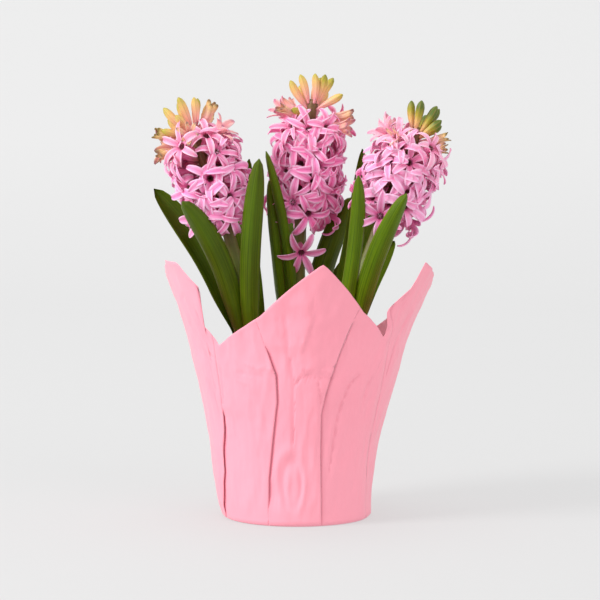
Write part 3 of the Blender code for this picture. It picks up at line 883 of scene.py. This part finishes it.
def floret_mesh(rng, size, tube, spread, curl):
    """A floret along +Z: a tube, then six lobes that bend back. Gives points in mm, faces and UVs."""
    points, uvs = [], []
    rows = len(TUBE_RADII)
    for r, girth in enumerate(TUBE_RADII):
        share = r / (rows - 1)
        for c, angle in steps_round(RING):
            radius = girth * (1 + 0.07 * math.cos(6 * angle) * share)
            points.append((radius * math.cos(angle), radius * math.sin(angle), tube * share))
            across = (c % LOBE_POINTS) / LOBE_POINTS
            uvs.append((0.5 + (across if across <= 0.5 else across - 1), TUBE_SHARE * share))
    faces = tube_faces(rows, RING)
    last = (rows - 1) * RING
    for k in range(TEPALS):
        inner = k % 2
        middle = math.radians(60 * k)
        length = (15.6 if inner else 16.6) * size * rng.uniform(0.86, 1.1)
        half = (2.6 if inner else 3.0) * size * rng.uniform(0.88, 1.14)
        drift = math.radians(rng.uniform(-15, 15))
        twist = math.radians(rng.uniform(-42, 42))
        loose = min(1.0, curl / 120)
        opening = math.radians(spread + (rng.uniform(-9, 9) + (-6 if inner else 5)) * loose)
        back = math.radians(curl + (rng.uniform(-26, 30) + (-12 if inner else 10)) * loose)
        radius, height = TUBE_RADII[-1], tube
        previous = [last + (LOBE_POINTS * k + v) % RING for v in range(-3, 4)]
        step = length / LOBE_ROWS
        for s in range(1, LOBE_ROWS + 1):
            share = s / LOBE_ROWS
            lean = opening + (back - opening) * share**1.2
            radius += math.sin(lean) * step
            height += math.cos(lean) * step
            azimuth = middle + drift * share
            outward = heading(azimuth)
            sideways = Vector((-outward.y, outward.x, 0))
            normal = outward * -math.cos(lean) + Vector((0, 0, math.sin(lean)))
            turn = twist * share
            side = sideways * math.cos(turn) + normal * math.sin(turn)
            up = normal * math.cos(turn) - sideways * math.sin(turn)
            width = LOBE_ROOT + (half - LOBE_ROOT) * math.sin(math.pi / 2 * min(1.0, share / 0.5))
            width *= math.sqrt(max(0.0, 1 - (max(0.0, share - 0.42) / 0.6) ** 2.2))
            centre = outward * radius + Vector((0, 0, height))
            current = []
            for v in range(-3, 4):
                across = v / 3
                cup = 0.28 * width * across * across + 0.18 * (1 - math.cos(math.pi * across)) * 0.4
                current.append(len(points))
                points.append(tuple(centre + side * width * across + up * cup))
                uvs.append((0.5 + 0.5 * across, TUBE_SHARE + (1 - TUBE_SHARE) * share))
            for v in range(LOBE_POINTS):
                faces.append((previous[v], previous[v + 1], current[v + 1], current[v]))
            previous = current
    return points, faces, uvs


def anther_mesh(tube, offset):
    """Six small closed spindles standing in the throat. Their faces count points from an offset."""
    points, faces = [], []
    for k in range(TEPALS):
        angle = math.radians(60 * k + 30)
        first = len(points)
        low, high, top = first + 1, first + 1 + ANTHER_SIDES, first + 1 + 2 * ANTHER_SIDES
        radius = 1.35
        for height, girth in ((-1.6, 0.0), (-0.9, 0.42), (0.2, 0.36), (0.9, 0.0)):
            for _, turn in steps_round(ANTHER_SIDES if girth else 1):
                x = radius * math.cos(angle) + girth * math.cos(turn)
                y = radius * math.sin(angle) + girth * math.sin(turn)
                points.append((x, y, tube + height))
        for c in range(ANTHER_SIDES):
            after = (c + 1) % ANTHER_SIDES
            faces.append((first, low + after, low + c))
            faces.append((low + c, low + after, high + after, high + c))
            faces.append((high + c, high + after, top))
    return points, [tuple(offset + i for i in face) for face in faces]


def growth_frame(name, share, azimuth, rise, roll=0.0):
    """Where a floret or bud leaves the stalk: a frame whose Z axis points along the growth."""
    centre, along = bezier(stalk_corners(name), share)
    across, other = axes_across(along, Vector((1, 0, 0)))
    side = across * math.cos(math.radians(azimuth)) + other * math.sin(math.radians(azimuth))
    out = side * math.cos(math.radians(rise)) + along * math.sin(math.radians(rise))
    start = stalk_radius(share) - 0.2 * MM
    upward = (along - out * along.dot(out)).normalized()
    turn = Matrix((upward.cross(out), upward, out)).transposed().to_4x4()
    return Matrix.Translation(centre + side * start) @ turn @ Matrix.Rotation(math.radians(roll), 4, "Z")


def floret_rise(level):
    """Degrees up: the low florets droop a little and the high ones look up."""
    return -10 + 48 * max(0.0, min(1.0, level)) ** 1.7


def throat_distance(name, azimuth):
    """How far the open end of a floret's tube lies from the middle of its stalk, in mm."""
    return THROAT_DISTANCE * (1 + BLOOM_LEAN[name] * math.cos(math.radians(azimuth)))


def throat_place(name, share, azimuth, low, high):
    level = (share - low) / (high - low)
    place = growth_frame(name, share, azimuth, floret_rise(level))
    return place @ Vector((0, 0, throat_distance(name, azimuth) * MM - stalk_radius(share)))


def floret_sites(name, rng):
    """The florets seen from the front, then others wherever there is room for one round the stalk."""
    low, high = FLORET_SPAN[name]
    sites = list(FRONT_FLORETS[name])
    taken = [throat_place(name, share, azimuth, low, high) for share, azimuth in sites]
    taken += [throat_place(name, share, azimuth, low, high) for share, azimuth, *_ in YOUNG_FLORETS[name]]
    first, last, left, right = BARE[name]
    spacing = FLORET_SPACING * MM
    while len(sites) < FLORET_COUNT[name] and spacing > CLOSEST_SPACING * MM:
        for k in range(TRIES):
            if len(sites) >= FLORET_COUNT[name]:
                break
            share = low + (high - low) * ((k * SPREAD_STEP) % 1.0)
            azimuth = (k * GOLDEN_ANGLE + rng.uniform(-6, 6)) % 360
            if first < share < last and left < azimuth < right:
                continue
            place = throat_place(name, share, azimuth, low, high)
            if min((place - other).length for other in taken) >= spacing:
                sites.append((share, azimuth))
                taken.append(place)
        spacing -= 0.8 * MM
    return sites


def make_florets(name, materials):
    """Every open floret of one stalk as a piece of its own."""
    rng = random.Random(f"florets {name}")
    low, high = FLORET_SPAN[name]
    sites = [(share, azimuth, None) for share, azimuth in floret_sites(name, rng)]
    sites += [(share, azimuth, young) for share, azimuth, *young in YOUNG_FLORETS[name]]
    for number, (share, azimuth, young) in enumerate(sites):
        level = (share - low) / (high - low)
        size = 1.03 - 0.16 * max(0.0, level) ** 2
        tube = (throat_distance(name, azimuth) - stalk_radius(share) / MM) * rng.uniform(0.82, 1.12)
        rise = floret_rise(level) + rng.uniform(-13, 13)
        spread = rng.uniform(*SPREAD_RANGE) - 8 * max(0.0, level) ** 3
        curl = rng.uniform(*CURL_RANGE) - 14 * max(0.0, level) ** 3
        if level < LONE_LEVEL:
            rise, size, spread, curl = LONE_FLORET
        youth = 0.25 * max(0.0, level) ** 4
        if young:
            rise, size, spread, curl, youth = young
            tube = YOUNG_TUBE * rng.uniform(0.94, 1.04)
        points, faces, uvs = floret_mesh(rng, size, tube, spread, curl)
        petal_faces = len(faces)
        extra, extra_faces = anther_mesh(tube, len(points))
        petal_points = len(points)
        points, uvs, faces = points + extra, uvs + [(0.5, 0.4)] * len(extra), faces + extra_faces
        growth = growth_frame(name, share, azimuth, rise, rng.uniform(0, 60))
        placed = [growth @ (Vector(p) * MM) for p in points]
        tint = PALENESS[name] + 0.45 * rng.random()
        values = {"tint": [tint] * len(points), "youth": [youth] * len(points)}
        slots = [0] * petal_faces + [2] * len(extra_faces)
        floret = mesh_object(f"floret_{name}_{number + 1:02d}", placed, faces, uvs, values, materials, slots)
        # The petals get the whole thickness, and the anthers, which are closed already, next to none
        floret.vertex_groups.new(name="skin").add(list(range(petal_points)), 1.0, "REPLACE")
        skin = thicken(floret, PETAL_THICKNESS * MM, -1.0, 1)
        skin.vertex_group = "skin"
        skin.thickness_vertex_group = 0.02
        settle(floret, "petal_pink", *((f"florets_{name}",) if number == 0 else ()))


def bud_radius(share, length):
    """A thin pedicel, a plump body and a blunt, slightly pinched tip."""
    places = (0, 0.1, 0.22, 0.38, 0.6, 0.78, 0.91, 1.0)
    girths = (0.9, 1.1, 1.7, 2.2, 2.75, 2.75, 2.0, 0.5)
    return float(np.interp(share, places, girths)) * (0.85 + 0.15 * length / 20)


def make_buds(name, material):
    """Closed buds with a groove between each pair of tepals."""
    rng = random.Random(f"buds {name}")
    rows, columns = 26, 36

    def ring(r):
        along = r / (rows - 1)
        radius = bud_radius(along, length)
        centre = Vector((bend * along**2, lift * along**2, length * along))
        around = []
        for _, angle in steps_round(columns):
            groove = 1 - 0.1 * smooth(along * 3) * (0.5 + 0.5 * math.cos(6 * angle + math.pi)) ** 3
            groove *= 1 + 0.05 * math.cos(3 * angle) * along
            around.append(growth @ ((centre + heading(angle) * radius * groove) * MM))
        return around, along

    for number, (share, azimuth, rise, length, hue) in enumerate(BUDS[name]):
        growth = growth_frame(name, share, azimuth, rise, rng.uniform(0, 60))
        bend = rng.uniform(-2.5, 2.5)
        lift = rng.uniform(-0.5, 3.5)
        points, faces, uvs = closed_tube(rows, columns, ring)
        hues = [hue + rng.uniform(-0.08, 0.08)] * len(points)
        bud = mesh_object(f"flower_bud_{name}_{number + 1}", points, faces, uvs, {"hue": hues}, [material])
        settle(bud, "bud_blush", *((f"bud_{name}_{number + 1}",) if number < CAD_BUDS else ()))


def make_bulb(name, material):
    """A papery bulb whose outer skin is ribbed and split."""
    outline = [
        (2, 53.9), (5, 54), (11, 55.2), (17, 60), (20.5, 68), (21.3, 75), (20.2, 83), (17.3, 90),
        (14.3, 96), (13, 100), (12.6, 103.3), (6, 103.7),
    ]
    x, y = PLANTS[name]["bulb"]
    rows, columns = 46, 72
    lengths = np.linspace(0, len(outline) - 1, rows)

    def ring(r):
        radius, height = (float(np.interp(lengths[r], range(len(outline)), side)) for side in zip(*outline))
        around = []
        for _, angle in steps_round(columns):
            rib = 0.22 * math.sin(18 * angle + 2 * noise.noise(Vector((radius, height, 0)) * 0.1))
            flaky = Vector((x + math.cos(angle) * 5, y + math.sin(angle) * 5, height * 0.12))
            flake = 0.5 * noise.noise(flaky)
            wide = max(radius + (rib + flake - 0.5) * smooth(radius / 10), 0.5)
            around.append(Vector((x + wide * math.cos(angle), y + wide * math.sin(angle), height)) * MM)
        return around, r / (rows - 1)

    bulb = mesh_object(f"bulb_skin_{name}", *closed_tube(rows, columns, ring), materials=[material])
    settle(bulb, "bulb_skin", f"bulb_{name}")


def make_soil(material):
    """Lumpy soil that fills the pot up to the bulbs' shoulders."""
    low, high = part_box("potting_soil")
    floor, top = low.z / MM, high.z / MM - 1.5
    wide_low, wide_high = 45.0, high.x / MM - 0.4
    columns = 150
    outline = [(wide_low * s, floor) for s in (0.25, 0.6, 1.0)]
    for s in (0.25, 0.5, 0.75, 0.97):
        outline.append((wide_low + (wide_high - wide_low) * s, floor + (top - floor) * s))
    outline += [(wide_high * (1 - s), top) for s in np.linspace(0.02, 0.96, 40)]

    def ring(r):
        radius, height = outline[r]
        around = []
        for _, angle in steps_round(columns):
            x, y = radius * math.cos(angle), radius * math.sin(angle)
            lump = 0.0
            if height == top:
                place = Vector((x, y, 0))
                lump = 1.3 * noise.noise(place * 0.09) + 0.9 * abs(noise.noise(place * 0.32))
                lump += 0.7 * abs(noise.noise(place * 0.8)) - 0.4
            around.append(Vector((x, y, height + lump)) * MM)
        return around, radius / wide_high

    soil = mesh_object("soil_plug", *closed_tube(len(outline), columns, ring), materials=[material])
    settle(soil, "soil", "potting_soil")


# ---- studio


def make_studio():
    """A floor that sweeps up into the backdrop, soft lights and the camera."""
    rows = [(y, 0.0) for y in (-20.0, -3.0, 0.0, SWEEP_START)]
    for angle in np.linspace(0.1, math.pi / 2, 14):
        back, up = math.sin(angle) * SWEEP_RADIUS, math.cos(angle) * SWEEP_RADIUS
        rows.append((SWEEP_START + back, SWEEP_RADIUS - up))
    rows.append((SWEEP_START + SWEEP_RADIUS, STUDIO_HEIGHT))
    points = [(x, y, z) for y, z in rows for x in STUDIO_SIDES]
    wide = len(STUDIO_SIDES)
    corners = [wide * r + c for r in range(len(rows) - 1) for c in range(wide - 1)]
    faces = [(low, low + 1, low + 1 + wide, low + wide) for low in corners]
    backdrop = mesh_object("studio_sweep", points, faces, materials=[studio_material()])

    world = bpy.data.worlds.new("studio")
    bpy.context.scene.world = world
    world.use_nodes = True
    background = world.node_tree.nodes["Background"]
    background.inputs["Color"].default_value = (1.0, 1.0, 1.0, 1.0)
    background.inputs["Strength"].default_value = WORLD_STRENGTH

    for name, place, aim, size, power in LIGHTS:
        light = bpy.data.lights.new(name, "AREA")
        light.shape = "DISK"
        light.size = size
        light.energy = power
        aimed_object(name, light, place, aim)

    camera = bpy.data.cameras.new("camera")
    camera.lens = CAMERA_LENS
    camera.sensor_width = SENSOR
    bpy.context.scene.camera = aimed_object("camera", camera, CAMERA_PLACE, CAMERA_AIM)
    bpy.context.scene.view_settings.view_transform = "Standard"


def aimed_object(name, data, place, aim):
    """A light or a camera that stands at a place and looks at another."""
    holder = bpy.data.objects.new(name, data)
    holder.location = place
    holder.rotation_euler = (Vector(aim) - Vector(place)).to_track_quat("-Z", "Y").to_euler()
    bpy.context.scene.collection.objects.link(holder)
    return holder


def main():
    make_wrap(wrap_material())
    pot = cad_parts["grower_pot"]
    pot.data.materials.clear()
    pot.data.materials.append(pot_material())
    make_soil(soil_material())
    leaf, stalk, bulb = leaf_material(), stalk_material(), bulb_material()
    petals = [petal_material("petal_back", False), petal_material("petal_face", True), anther_material()]
    bud = bud_material()
    for name in PLANTS:
        make_bulb(name, bulb)
        make_stalk(name, stalk)
        for place, row in LEAVES[name].items():
            make_leaf(name, place, row, leaf)
        make_florets(name, petals)
        make_buds(name, bud)
    make_studio()


main()
